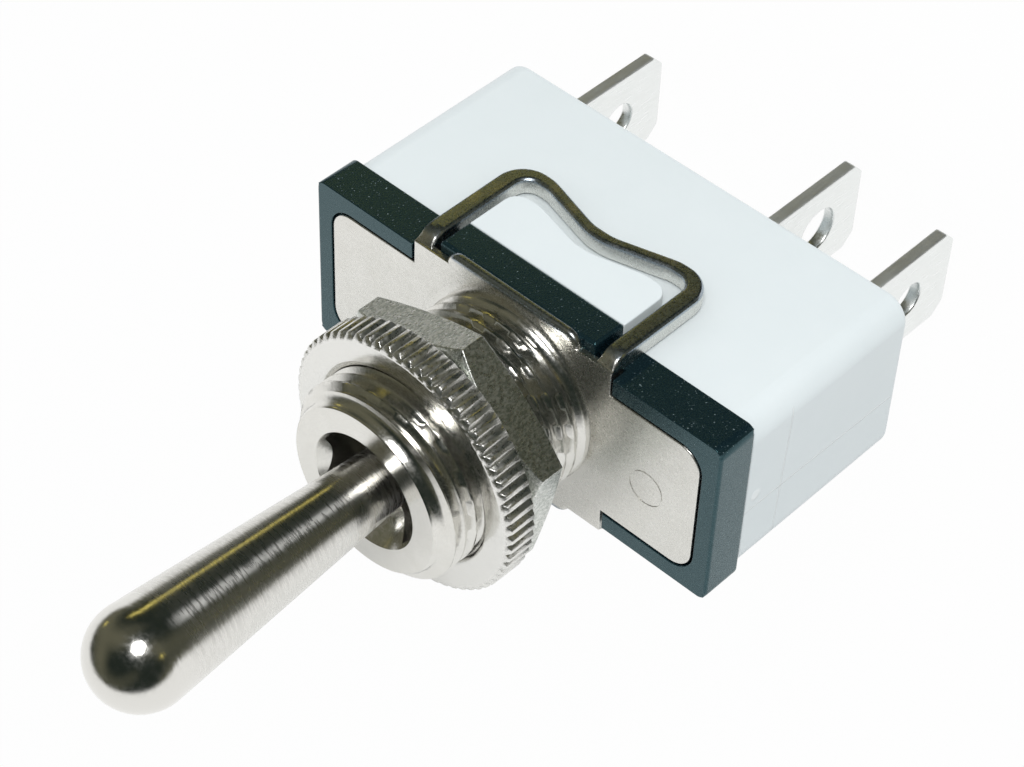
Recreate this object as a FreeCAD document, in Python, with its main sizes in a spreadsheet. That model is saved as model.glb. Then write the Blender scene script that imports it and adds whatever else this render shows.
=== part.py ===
import FreeCAD, Part
import Sketcher
import math
import os

from FreeCAD import Placement, Rotation, Vector

# Panel toggle switch with three positions: off in the middle, on to either side.
# The row's origin lies on the bushing's axis, just in front of the ring nut.
# +Z runs along the bushing towards the lever's tip, X along the case and Y across it.

os.makedirs("parts", exist_ok=True)
doc = FreeCAD.newDocument("panel_toggle_switch")
dim = doc.addObject("Spreadsheet::Sheet", "dim")

SIZES = [
    # bushing and its thread
    ("thread_radius", 5.95),
    ("shank_radius", 5.90),
    ("thread_end_z", 1.72),
    ("lead_radius", 5.20),
    ("lead_start_z", 1.95),
    ("bushing_end_z", 2.50),
    ("relief_radius", 5.60),
    ("relief_width", 0.60),
    ("mouth_radius", 3.62),
    ("dish_radius", 2.20),
    ("dish_z", 0.03),
    ("swing_slot_length", 6.32),
    ("swing_slot_width", 4.60),
    ("swing_slot_round", 3.45),
    ("flare_radius", 6.35),
    ("socket_gap", 0.30),
    ("skirt_radius", 4.20),
    ("skirt_z", -5.40),
    # flange plate and the loops cast on it
    ("plate_z", -8.40),
    ("plate_margin", 1.28),
    ("plate_thick", 1.20),
    ("plate_corner", 1.40),
    ("tongue_length", 9.60),
    ("tongue_width", 13.80),
    ("tongue_thick", 0.45),
    ("tongue_lip", 0.28),
    ("web_width", 12.20),
    ("loop_inside", 12.00),
    ("loop_strip", 1.15),
    ("loop_thick", 1.05),
    ("loop_reach", 8.50),
    ("loop_bar", 0.84),
    ("loop_dip", 1.14),
    ("loop_bend", 1.35),
    # nuts
    ("hex_flats", 13.90),
    ("hex_thick", 2.37),
    ("hex_turn", 17.50),
    ("ring_radius", 8.00),
    ("ring_thick", 2.20),
    ("ring_teeth", 66.00),
    ("tooth_depth", 0.30),
    ("nut_gap", 0.02),
    ("datum_gap", 0.10),
    # black tray
    ("tray_end_lip", 0.08),
    ("tray_side_lip", 0.13),
    ("tray_depth", 2.69),
    ("tray_corner", 0.60),
    ("plate_gap", 0.15),
    ("rib_length", 11.20),
    ("rib_width", 13.56),
    ("rim_depth", 1.00),
    ("rim_wall", 0.90),
    ("post_width", 3.20),
    # white case
    ("case_length", 29.34),
    ("case_width", 11.23),
    ("case_depth", 12.98),
    ("case_wall", 1.15),
    ("case_floor", 1.98),
    ("case_corner", 1.50),
    ("boss_width", 13.32),
    ("boss_depth", 3.70),
    ("boss_dip", 0.85),
    # terminals
    ("tab_width", 6.35),
    ("tab_thick", 0.80),
    ("tab_length", 9.12),
    ("common_extra", 0.90),
    ("tab_inset", 3.72),
    ("tab_chamfer", 1.00),
    ("tab_hole_radius", 1.15),
    ("common_hole_radius", 1.50),
    ("tab_hole_inset", 3.90),
    ("slot_gap", 0.06),
    ("foot_reach", 3.55),
    ("ear_inner", 5.70),
    ("ear_thick", 0.70),
    ("ear_half", 1.25),
    # lever and the snap mechanism
    ("pivot_z", -3.20),
    ("ball_radius", 3.00),
    ("tip_radius", 2.94),
    ("tip_centre_z", 17.90),
    ("neck_radius", 1.61),
    ("neck_z", -1.00),
    ("shoulder_radius", 2.45),
    ("shoulder_z", -1.90),
    ("shoulder_top_radius", 1.73),
    ("shoulder_top_z", 0.70),
    ("tail_radius", 2.30),
    ("tail_end_z", -12.80),
    ("spring_bore", 1.36),
    ("spring_top_z", -5.80),
    ("pin_radius", 0.80),
    ("pin_length", 8.70),
    ("run_gap", 0.06),
    ("plunger_radius", 1.30),
    ("plunger_centre_z", -15.54),
    ("plunger_top_z", -11.60),
    ("wire_radius", 0.16),
    ("coil_radius", 0.98),
    ("coil_pitch", 0.82),
    ("fulcrum_z", -17.80),
    ("lug_radius", 0.55),
    ("rocker_width", 5.00),
    ("rocker_thick", 0.80),
    ("rocker_end", 1.30),
    ("saddle_radius", 6.60),
    ("saddle_half", 3.20),
    ("saddle_low", 0.90),
    ("arm_low", 0.90),
    ("contact_inset", 2.05),
    ("contact_radius", 1.40),
    ("contact_flat", 0.90),
    ("contact_high", 0.60),
    ("fixed_high", 0.85),
]

for row, (alias, value) in enumerate(SIZES, start=1):
    dim.set("A%d" % row, alias)
    dim.set("B%d" % row, "%.4f" % value)
    dim.setAlias("B%d" % row, alias)
doc.recompute()


def size(alias):
    return float(dim.get(alias))


# Places that follow from the sizes above, as expressions on the sheet
PLATE_LOW = "(dim.plate_z - dim.plate_thick)"
TRAY_LOW = "(dim.plate_z - dim.tray_depth)"
CASE_TOP = "(dim.plate_z - dim.tray_depth - dim.nut_gap)"
CASE_LOW = "(dim.plate_z - dim.tray_depth - dim.nut_gap - dim.case_depth)"
FLOOR = "(dim.plate_z - dim.tray_depth - dim.nut_gap - dim.case_depth + dim.case_floor)"
FOOT_TOP = "(dim.plate_z - dim.tray_depth - dim.nut_gap - dim.case_depth + dim.case_floor + dim.tab_thick)"
CAVITY_X = "(dim.case_length / 2 - dim.case_wall)"
CAVITY_Y = "(dim.case_width / 2 - dim.case_wall + 0.15)"
TRAY_X = "(dim.case_length / 2 + dim.tray_end_lip)"
TRAY_Y = "(dim.case_width / 2 + dim.tray_side_lip)"
TONGUE_Y = "(dim.tongue_width / 2)"
PLATE_X = "(dim.case_length / 2 + dim.tray_end_lip - dim.plate_margin)"
PLATE_Y = "(dim.case_width / 2 + dim.tray_side_lip - dim.plate_margin)"
TAB_X = "(dim.case_length / 2 - dim.tab_inset)"
COMMON_X = "(-(dim.case_length / 2 - dim.tab_inset) / 3)"
CONTACT_X = "(dim.case_length / 2 - dim.tab_inset - dim.contact_inset)"


# Plain solids with every face bound to the sheet
def box(name, low, high):
    solid = doc.addObject("Part::Box", name)
    for side, axis, a, b in zip(("Length", "Width", "Height"), "xyz", low, high):
        solid.setExpression(side, "(%s) - (%s)" % (b, a))
        solid.setExpression("Placement.Base.%s" % axis, a)
    return solid


def rod(name, radius, start, end, x="0", y="0"):
    solid = doc.addObject("Part::Cylinder", name)
    solid.setExpression("Radius", radius)
    solid.setExpression("Height", "(%s) - (%s)" % (end, start))
    solid.setExpression("Placement.Base.x", x)
    solid.setExpression("Placement.Base.y", y)
    solid.setExpression("Placement.Base.z", start)
    return solid


def cross_rod(name, radius, half, x, z):
    solid = doc.addObject("Part::Cylinder", name)
    solid.Placement.Rotation = Rotation(Vector(1, 0, 0), -90)
    solid.setExpression("Radius", radius)
    solid.setExpression("Height", "2 * (%s)" % half)
    solid.setExpression("Placement.Base.x", x)
    solid.setExpression("Placement.Base.y", "-(%s)" % half)
    solid.setExpression("Placement.Base.z", z)
    return solid


def cone(name, low_radius, high_radius, start, end):
    solid = doc.addObject("Part::Cone", name)
    solid.setExpression("Radius1", low_radius)
    solid.setExpression("Radius2", high_radius)
    solid.setExpression("Height", "(%s) - (%s)" % (end, start))
    solid.setExpression("Placement.Base.z", start)
    return solid


def ball(name, radius, z):
    solid = doc.addObject("Part::Sphere", name)
    solid.setExpression("Radius", radius)
    solid.setExpression("Placement.Base.z", z)
    return solid


def fuse(name, solids):
    joined = doc.addObject("Part::MultiFuse", name)
    joined.Shapes = solids
    joined.Refine = True
    return joined


def cut(name, base, tools):
    tool = tools[0] if len(tools) == 1 else fuse(name + "_tools", tools)
    result = doc.addObject("Part::Cut", name)
    result.Base = base
    result.Tool = tool
    result.Refine = True
    return result


def common(name, first, second):
    result = doc.addObject("Part::Common", name)
    result.Base = first
    result.Tool = second
    return result


# Sketched bodies: every corner of a closed profile is placed from the sheet
def number(text):
    return float(dim.evalExpression(text))


def origin_plane(body, role):
    return [item for item in body.Origin.OriginFeatures if item.Role == role][0]


def profile(body, name, role, corners, offset="0"):
    sketch = body.newObject("Sketcher::SketchObject", name)
    sketch.AttachmentSupport = [(origin_plane(body, role), "")]
    sketch.MapMode = "FlatFace"
    sketch.setExpression("AttachmentOffset.Base.z", offset)
    points = [Vector(number(across), number(up), 0) for across, up in corners]
    count = len(points)
    for index in range(count):
        sketch.addGeometry(Part.LineSegment(points[index], points[(index + 1) % count]), False)
    for index in range(count):
        sketch.addConstraint(Sketcher.Constraint("Coincident", index, 2, (index + 1) % count, 1))
    for index, corner in enumerate(corners):
        for kind, axis, text in (("DistanceX", -2, corner[0]), ("DistanceY", -1, corner[1])):
            if text == "0":
                sketch.addConstraint(Sketcher.Constraint("PointOnObject", index, 1, axis))
            else:
                place = sketch.addConstraint(Sketcher.Constraint(kind, -1, 1, index, 1, number(text)))
                sketch.setExpression("Constraints[%d]" % place, text)
    return sketch


def turned(name, corners):
    body = doc.addObject("PartDesign::Body", name)
    sketch = profile(body, name + "_half_section", "XZ_Plane", corners)
    spin = body.newObject("PartDesign::Revolution", name + "_turned")
    spin.Profile = sketch
    spin.ReferenceAxis = (sketch, ["V_Axis"])
    spin.Angle = 360
    doc.recompute()
    return body


def padded(body, name, corners, start, end):
    sketch = profile(body, name + "_outline", "XY_Plane", corners, start)
    pad = body.newObject("PartDesign::Pad", name)
    pad.Profile = sketch
    pad.setExpression("Length", "(%s) - (%s)" % (end, start))
    doc.recompute()
    return pad


def rectangle(half_x, half_y):
    return [("-(%s)" % half_x, "-(%s)" % half_y), (half_x, "-(%s)" % half_y),
            (half_x, half_y), ("-(%s)" % half_x, half_y)]


def upright_edges(feature):
    names = []
    for index, edge in enumerate(feature.Shape.Edges, start=1):
        low, high = edge.Vertexes[0].Point, edge.Vertexes[-1].Point
        if abs(low.x - high.x) < 1e-6 and abs(low.y - high.y) < 1e-6:
            names.append("Edge%d" % index)
    return names


def level_edges(feature, height):
    names = []
    for index, edge in enumerate(feature.Shape.Edges, start=1):
        if all(abs(v.Z - number(height)) < 1e-6 for v in edge.Vertexes):
            names.append("Edge%d" % index)
    return names


def rounded(body, name, feature, edges, radius):
    fillet = body.newObject("PartDesign::Fillet", name)
    fillet.Base = (feature, edges)
    fillet.setExpression("Radius", radius)
    doc.recompute()
    return fillet


def rounded_block(name, half_x, half_y, start, end, radius):
    body = doc.addObject("PartDesign::Body", name)
    pad = padded(body, name + "_pad", rectangle(half_x, half_y), start, end)
    rounded(body, name + "_corners", pad, upright_edges(pad), radius)
    return body


# A path of straight runs joined by tangent arcs; each point is across, up and corner radius
def run_and_arc_edges(points, place):
    edges = []
    last = Vector(points[0][0], points[0][1], 0)
    for index in range(1, len(points) - 1):
        here = Vector(points[index][0], points[index][1], 0)
        back = (Vector(points[index - 1][0], points[index - 1][1], 0) - here).normalize()
        ahead = (Vector(points[index + 1][0], points[index + 1][1], 0) - here).normalize()
        half = back.getAngle(ahead) / 2
        radius = points[index][2]
        reach = radius / math.tan(half)
        first = here + back * reach
        final = here + ahead * reach
        bisector = (back + ahead).normalize()
        middle = here + bisector * (radius / math.sin(half) - radius)
        edges.append(Part.makeLine(place(last), place(first)))
        edges.append(Part.Arc(place(first), place(middle), place(final)).toShape())
        last = final
    edges.append(Part.makeLine(place(last), place(Vector(points[-1][0], points[-1][1], 0))))
    return edges


def mirrored_path(points):
    return points + [(-across, up, radius) for across, up, radius in reversed(points)]


def face_between(outer, inner, place):
    edges = run_and_arc_edges(outer, place) + run_and_arc_edges(inner, place)
    for a, b in ((outer[0], inner[0]), (outer[-1], inner[-1])):
        edges.append(Part.makeLine(place(Vector(a[0], a[1], 0)), place(Vector(b[0], b[1], 0))))
    return Part.Face(Part.Wire(Part.__sortEdges__(edges)))


def piece(name, shape):
    feature = doc.addObject("Part::Feature", name)
    feature.Shape = shape
    feature.Placement = Placement()
    return feature


# One crimped loop: two legs bent off the plate and a far bar with a dip pressed into it
def crimped_loop():
    low = size("plate_z") - size("loop_reach")
    front = size("plate_z")
    inside = size("loop_inside") / 2
    outside = inside + size("loop_strip")
    bar = size("loop_bar")
    dip = size("loop_dip")
    strip = size("loop_strip")
    outer = mirrored_path([
        (outside, front, 0),
        (outside, low, strip * 1.65),
        (outside * 0.64, low, strip * 2.6),
        (outside * 0.10, low + dip, strip * 2.6),
    ])
    inner = mirrored_path([
        (inside, front, 0),
        (inside, low + bar, strip * 0.8),
        (inside * 0.74, low + bar, strip * 1.9),
        (inside * 0.10, low + dip + bar * 0.92, strip * 3.0),
    ])
    near = number(TRAY_Y) + 0.005
    face = face_between(outer, inner, lambda p: Vector(p.x, near, p.y))
    thick = size("loop_thick")
    loop = face.extrude(Vector(0, thick, 0))
    for low_x in (inside, -outside):
        loop = loop.fuse(Part.makeBox(strip, 2 * thick, thick, Vector(low_x, near - 2 * thick, front - thick)))
    loop = loop.removeSplitter()
    far = near + thick
    bends = [e for e in loop.Edges
             if all(abs(v.Y - far) < 1e-6 and abs(v.Z - front) < 1e-6 for v in e.Vertexes)]
    return loop.makeFillet(size("loop_bend"), bends)


# Die-cast bushing: a turned outside with a small chamfer down to the plate
bushing_solid = turned("bushing_outside", [
    ("0", PLATE_LOW),
    ("dim.flare_radius", PLATE_LOW),
    ("dim.flare_radius", "dim.plate_z"),
    ("dim.shank_radius", "dim.plate_z + dim.flare_radius - dim.shank_radius"),
    ("dim.shank_radius", "-dim.relief_width"),
    ("dim.relief_radius", "-dim.relief_width"),
    ("dim.relief_radius", "0"),
    ("dim.thread_radius", "0"),
    ("dim.thread_radius", "dim.thread_end_z"),
    ("dim.lead_radius", "dim.lead_start_z"),
    ("dim.lead_radius", "dim.bushing_end_z - 0.12"),
    ("dim.lead_radius - 0.10", "dim.bushing_end_z"),
    ("0", "dim.bushing_end_z"),
])
tongue_limit = box(
    "tongue_limit",
    ("-dim.flare_radius - 1", "-" + TONGUE_Y, "dim.plate_z - dim.plate_thick"),
    ("dim.flare_radius + 1", TONGUE_Y, "dim.bushing_end_z"),
)
bushing_trimmed = common("bushing_trimmed", bushing_solid, tongue_limit)
under_flare = box(
    "under_flare",
    ("-dim.flare_radius - 1", "-dim.flare_radius - 1", PLATE_LOW + " - 1"),
    ("dim.flare_radius + 1", "dim.flare_radius + 1", "dim.plate_z - dim.tongue_thick"),
)
bushing_above = cut("bushing_above", bushing_trimmed, [under_flare])
plate = rounded_block("plate", PLATE_X, PLATE_Y, PLATE_LOW, "dim.plate_z", "dim.plate_corner")
web = box(
    "web",
    ("-dim.loop_inside / 2 - dim.loop_strip", "-dim.web_width / 2", "dim.plate_z - dim.tongue_thick"),
    ("dim.loop_inside / 2 + dim.loop_strip", "dim.web_width / 2", "dim.plate_z"),
)
tongue = doc.addObject("PartDesign::Body", "tongue")
tongue_pad = padded(
    tongue, "tongue_pad", rectangle("dim.tongue_length / 2", TONGUE_Y),
    "dim.plate_z - dim.tongue_thick", "dim.plate_z")
tongue_corners = rounded(tongue, "tongue_corners", tongue_pad, upright_edges(tongue_pad), "0.95")
rounded(tongue, "tongue_edge", tongue_corners, level_edges(tongue_corners, "dim.plate_z"), "dim.tongue_lip")
roots = []
for side, sign in (("left", "1"), ("right", "-1")):
    near = "%s * (dim.loop_inside / 2 + dim.loop_strip / 2) - dim.loop_strip / 2" % sign
    far = "%s * (dim.loop_inside / 2 + dim.loop_strip / 2) + dim.loop_strip / 2" % sign
    roots.append(box(
        "loop_root_" + side,
        (near, "-" + TRAY_Y + " + dim.loop_thick", "dim.plate_z - dim.loop_thick"),
        (far, TRAY_Y + " - dim.loop_thick", "dim.plate_z"),
    ))
loop_shape = crimped_loop()
loop_back = piece("loop_back", loop_shape)
loop_front = piece("loop_front", loop_shape.mirror(Vector(0, 0, 0), Vector(0, 1, 0)))
casting = fuse("casting", [bushing_above, plate, web, tongue] + roots + [loop_back, loop_front])

dish = cone("dish", "dim.dish_radius", "dim.mouth_radius", "dim.dish_z", "dim.bushing_end_z")
slot_long = box(
    "slot_long",
    ("-dim.swing_slot_length / 2", "-dim.swing_slot_width / 2", "dim.pivot_z"),
    ("dim.swing_slot_length / 2", "dim.swing_slot_width / 2", "dim.bushing_end_z - 0.1"),
)
slot_ends = rod("slot_ends", "dim.swing_slot_round", "dim.pivot_z", "dim.bushing_end_z - 0.1")
swing_slot = common("swing_slot", slot_long, slot_ends)
socket_ball = ball("socket_ball", "dim.ball_radius + dim.socket_gap", "dim.pivot_z")
socket_bore = rod("socket_bore", "dim.ball_radius + dim.socket_gap", "dim.skirt_z", "dim.pivot_z")
socket_skirt = cone(
    "socket_skirt", "dim.skirt_radius", "dim.ball_radius + dim.socket_gap", PLATE_LOW, "dim.skirt_z")
pin_slot = box(
    "pin_slot",
    ("-dim.pin_radius", "-dim.pin_length / 2 - dim.nut_gap", PLATE_LOW),
    ("dim.pin_radius", "dim.pin_length / 2 + dim.nut_gap", "dim.pivot_z"),
)
pin_seat = cross_rod(
    "pin_seat", "dim.pin_radius", "dim.pin_length / 2 + dim.nut_gap", "0", "dim.pivot_z")
bushing_frame = cut(
    "bushing_frame", casting,
    [dish, swing_slot, socket_ball, socket_bore, socket_skirt, pin_slot, pin_seat])

# Hexagon nut behind the panel, chamfered more in front than behind
HEX_TOP = "(-dim.datum_gap - dim.ring_thick - dim.nut_gap)"
HEX_LOW = "(-dim.datum_gap - dim.ring_thick - dim.nut_gap - dim.hex_thick)"
hex_prism = doc.addObject("Part::Prism", "hex_prism")
hex_prism.Polygon = 6
hex_prism.setExpression("Circumradius", "dim.hex_flats / 2 / cos(30)")
hex_prism.setExpression("Height", "dim.hex_thick")
hex_prism.setExpression("Placement.Base.z", HEX_LOW)
hex_prism.setExpression("Placement.Rotation.Angle", "dim.hex_turn")
hex_blank = turned("hex_blank", [
    ("dim.thread_radius", HEX_LOW),
    ("dim.hex_flats / 2", HEX_LOW),
    ("dim.hex_flats / 2 + 1.4", HEX_LOW + " + 0.33"),
    ("dim.hex_flats / 2 + 1.4", HEX_TOP + " - 0.81"),
    ("dim.hex_flats / 2", HEX_TOP),
    ("dim.thread_radius", HEX_TOP),
])
hex_nut = common("hex_nut", hex_prism, hex_blank)

# Straight-knurled ring nut with chamfered faces
RING_LOW = "(-dim.datum_gap - dim.ring_thick)"
RING_TOP = "(-dim.datum_gap)"
RING_RADIUS = "(dim.ring_radius)"
ring_blank = turned("ring_blank", [
    ("dim.thread_radius", RING_LOW),
    (RING_RADIUS + " - 0.45", RING_LOW),
    (RING_RADIUS, RING_LOW + " + 0.25"),
    (RING_RADIUS, RING_TOP + " - 0.30"),
    (RING_RADIUS + " - 0.50", RING_TOP),
    ("dim.thread_radius + 0.45", RING_TOP),
    ("dim.thread_radius", RING_TOP + " - 0.30"),
])


def toothed_disc():
    teeth = int(round(size("ring_teeth")))
    outer = number(RING_RADIUS) + 0.02
    root = outer - size("tooth_depth")
    low = -size("datum_gap") - size("ring_thick")
    corners = []
    for index in range(teeth):
        start = 2 * math.pi * index / teeth
        for share, radius in ((-0.16, outer), (0.16, outer), (0.5, root)):
            turn = start + share * 2 * math.pi / teeth
            corners.append(Vector(radius * math.cos(turn), radius * math.sin(turn), low))
    face = Part.Face(Part.makePolygon(corners + [corners[0]]))
    return face.extrude(Vector(0, 0, size("ring_thick")))


ring_teeth = piece("ring_teeth", toothed_disc())
ring_nut = common("ring_nut", ring_blank, ring_teeth)

# Black tray: the plate drops into its recess and its two ribs fill the loops
tray_block = rounded_block(
    "tray_block", TRAY_X, TRAY_Y, TRAY_LOW, "dim.plate_z", "dim.tray_corner")
tray_recess = rounded_block(
    "tray_recess", PLATE_X + " + dim.plate_gap", PLATE_Y + " + dim.plate_gap",
    PLATE_LOW, "dim.plate_z + 1", "dim.plate_corner + dim.plate_gap")
tray_notch = box(
    "tray_notch",
    ("-dim.loop_inside / 2 - dim.loop_strip - 0.15", "-dim.case_width", "dim.plate_z - dim.loop_thick"),
    ("dim.loop_inside / 2 + dim.loop_strip + 0.15", "dim.case_width", "dim.plate_z + 1"),
)
tray_open = cut("tray_open", tray_block, [tray_recess, tray_notch])
rib_full = box(
    "rib_full",
    ("-dim.rib_length / 2", "-dim.rib_width / 2", TRAY_LOW),
    ("dim.rib_length / 2", "dim.rib_width / 2", "dim.plate_z - dim.tongue_thick"),
)
rib_gap = box(
    "rib_gap",
    ("-dim.rib_length", "-" + PLATE_Y + " - dim.plate_gap", PLATE_LOW),
    ("dim.rib_length", PLATE_Y + " + dim.plate_gap", "dim.plate_z"),
)
tray_ribs = cut("tray_ribs", rib_full, [rib_gap])
RIM_X = "(dim.case_length / 2 - dim.case_wall - 0.1)"
RIM_Y = "(dim.case_width / 2 - dim.case_wall + 0.05)"
rim_solid = box(
    "rim_solid",
    ("-" + RIM_X, "-" + RIM_Y, TRAY_LOW + " - dim.rim_depth"),
    (RIM_X, RIM_Y, TRAY_LOW),
)
rim_hollow = box(
    "rim_hollow",
    ("-" + RIM_X + " + dim.rim_wall", "-" + RIM_Y + " + dim.rim_wall", TRAY_LOW + " - dim.rim_depth - 1"),
    (RIM_X + " - dim.rim_wall", RIM_Y + " - dim.rim_wall", TRAY_LOW),
)
tray_rim = cut("tray_rim", rim_solid, [rim_hollow])
posts = []
for side, sign in (("left", "1"), ("right", "-1")):
    middle = "%s * (%s - dim.tab_thick / 4 + %s) / 2" % (sign, TAB_X, RIM_X)
    half = "(%s - %s + dim.tab_thick / 4) / 2" % (RIM_X, TAB_X)
    posts.append(box(
        "end_post_" + side,
        ("%s - %s" % (middle, half), "-dim.post_width / 2", FOOT_TOP),
        ("%s + %s" % (middle, half), "dim.post_width / 2", TRAY_LOW),
    ))
for side, sign in (("back", "1"), ("front", "-1")):
    middle = "%s * (dim.rocker_width / 2 + 0.25 + %s) / 2" % (sign, RIM_Y)
    half = "(%s - dim.rocker_width / 2 - 0.25) / 2" % RIM_Y
    posts.append(box(
        "side_post_" + side,
        (COMMON_X + " - dim.tab_thick / 2", "%s - %s" % (middle, half), FOOT_TOP),
        (COMMON_X + " + dim.tab_thick", "%s + %s" % (middle, half), TRAY_LOW),
    ))
tray_whole = fuse("tray_whole", [tray_open, tray_ribs, tray_rim] + posts)
lever_opening = rounded_block(
    "lever_opening", "4.75", "3.2", TRAY_LOW + " - 1", "dim.plate_z", "1.5")
insulating_frame = cut("insulating_frame", tray_whole, [lever_opening])

# White case: a deep moulded box with a boss inside each loop and three tab slots
case_body = doc.addObject("PartDesign::Body", "case_shell")
case_pad = padded(
    case_body, "case_pad", rectangle("dim.case_length / 2", "dim.case_width / 2"), CASE_LOW, CASE_TOP)
case_round = rounded(case_body, "case_corners", case_pad, upright_edges(case_pad), "dim.case_corner")
rounded(case_body, "case_back_edge", case_round, level_edges(case_round, CASE_LOW), "0.35")
cavity = box("cavity", ("-" + CAVITY_X, "-" + CAVITY_Y, FLOOR), (CAVITY_X, CAVITY_Y, CASE_TOP + " + 1"))


def loop_boss():
    top = number(CASE_TOP)
    low = top - size("boss_depth")
    half = size("rib_length") / 2
    outline = mirrored_path([
        (half, top, 0),
        (half, low, 1.0),
        (half * 0.68, low, 1.6),
        (half * 0.10, low + size("boss_dip"), 2.4),
    ])
    near = size("case_width") / 2 - 0.4
    place = lambda p: Vector(p.x, near, p.y)
    edges = run_and_arc_edges(outline, place)
    edges.append(Part.makeLine(place(Vector(half, top, 0)), place(Vector(-half, top, 0))))
    face = Part.Face(Part.Wire(Part.__sortEdges__(edges)))
    return face.extrude(Vector(0, size("boss_width") / 2 - near, 0))


boss_shape = loop_boss()
boss_back = piece("boss_back", boss_shape)
boss_front = piece("boss_front", boss_shape.mirror(Vector(0, 0, 0), Vector(0, 1, 0)))
case_solid = fuse("case_solid", [case_body, boss_back, boss_front])
slots = []
for name, x in (("left", TAB_X), ("common", COMMON_X), ("right", "-" + TAB_X)):
    slots.append(box(
        "tab_slot_" + name,
        (x + " - dim.tab_thick / 2 - dim.slot_gap", "-dim.tab_width / 2 - dim.slot_gap", CASE_LOW + " - 1"),
        (x + " + dim.tab_thick / 2 + dim.slot_gap", "dim.tab_width / 2 + dim.slot_gap", FLOOR + " + 1"),
    ))
case = cut("case", case_solid, [cavity] + slots)


# Push-on tabs: corners and tip bevelled, a hole near the tip, a foot on the case's floor
def tab_blade(name, x, tip, hole_radius):
    body = doc.addObject("PartDesign::Body", name + "_blade")
    half = "dim.tab_width / 2"
    outline = [
        ("-" + half, FOOT_TOP),
        (half, FOOT_TOP),
        (half, tip + " + dim.tab_chamfer"),
        (half + " - dim.tab_chamfer", tip),
        ("-" + half + " + dim.tab_chamfer", tip),
        ("-" + half, tip + " + dim.tab_chamfer"),
    ]
    sketch = profile(body, name + "_outline", "YZ_Plane", outline, x)
    pad = body.newObject("PartDesign::Pad", name + "_pad")
    pad.Profile = sketch
    pad.Midplane = True
    pad.setExpression("Length", "dim.tab_thick")
    doc.recompute()
    tip_edges = []
    for index, edge in enumerate(pad.Shape.Edges, start=1):
        low = all(abs(v.Z - number(tip)) < 1e-6 for v in edge.Vertexes)
        if low and edge.Length > size("tab_thick") * 2:
            tip_edges.append("Edge%d" % index)
    bevel = body.newObject("PartDesign::Chamfer", name + "_bevel")
    bevel.Base = (pad, tip_edges)
    bevel.setExpression("Size", "dim.tab_thick / 4")
    doc.recompute()
    hole = doc.addObject("Part::Cylinder", name + "_hole")
    hole.Placement.Rotation = Rotation(Vector(0, 1, 0), 90)
    hole.setExpression("Radius", hole_radius)
    hole.setExpression("Height", "dim.tab_thick * 3")
    hole.setExpression("Placement.Base.x", x + " - dim.tab_thick * 1.5")
    hole.setExpression("Placement.Base.z", tip + " + dim.tab_hole_inset")
    return cut(name + "_drilled", body, [hole])


TIP = "(" + CASE_LOW + " - dim.tab_length)"
COMMON_TIP = "(" + CASE_LOW + " - dim.tab_length - dim.common_extra)"
throws = []
for side, sign in (("left", "1"), ("right", "-1")):
    x = "(%s * %s)" % (sign, TAB_X)
    blade = tab_blade("throw_" + side, x, TIP, "dim.tab_hole_radius")
    middle = "%s * (%s - dim.foot_reach / 2)" % (sign, TAB_X)
    half = "dim.foot_reach / 2"
    foot = box(
        "throw_foot_" + side,
        ("%s - %s" % (middle, half), "-dim.tab_width / 2", FLOOR),
        ("%s + %s" % (middle, half), "dim.tab_width / 2", FOOT_TOP),
    )
    throws.append(fuse("throw_terminal_" + side, [blade, foot]))
throw_left, throw_right = throws

common_blade = tab_blade("common", COMMON_X, COMMON_TIP, "dim.common_hole_radius")
common_foot = box(
    "common_foot",
    (COMMON_X, "-dim.tab_width / 2", FLOOR),
    ("dim.ear_half", "dim.tab_width / 2", FOOT_TOP),
)
EAR_OUTER = "(dim.ear_inner / 2 + dim.ear_thick)"
EAR_TOP = "(dim.fulcrum_z + dim.lug_radius)"
ear_block = box(
    "ear_block",
    ("-dim.ear_half", "-" + EAR_OUTER, FLOOR),
    ("dim.ear_half", EAR_OUTER, EAR_TOP),
)
ear_space = box(
    "ear_space",
    ("-dim.ear_half - 1", "-dim.ear_inner / 2", FOOT_TOP),
    ("dim.ear_half + 1", "dim.ear_inner / 2", EAR_TOP + " + 1"),
)
lug_seat = cross_rod("lug_seat", "dim.lug_radius + dim.run_gap", "dim.case_width / 2", "0", "dim.fulcrum_z")
lug_entry = box(
    "lug_entry",
    ("-dim.lug_radius - dim.run_gap", "-dim.case_width / 2", "dim.fulcrum_z"),
    ("dim.lug_radius + dim.run_gap", "dim.case_width / 2", EAR_TOP + " + 1"),
)
ears = cut("ears", ear_block, [ear_space, lug_seat, lug_entry])
common_terminal = fuse("common_terminal", [common_blade, common_foot, ears])

# Silver contacts on the throws' feet
fixed = []
for side, sign in (("left", "1"), ("right", "-1")):
    contact = turned("fixed_contact_" + side, [
        ("0", FOOT_TOP),
        ("dim.contact_radius", FOOT_TOP),
        ("dim.contact_radius", FOOT_TOP + " + dim.fixed_high - 0.3"),
        ("dim.contact_flat", FOOT_TOP + " + dim.fixed_high"),
        ("0", FOOT_TOP + " + dim.fixed_high"),
    ])
    contact.setExpression("Placement.Base.x", "%s * %s" % (sign, CONTACT_X))
    fixed.append(contact)
fixed_left, fixed_right = fixed


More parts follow.
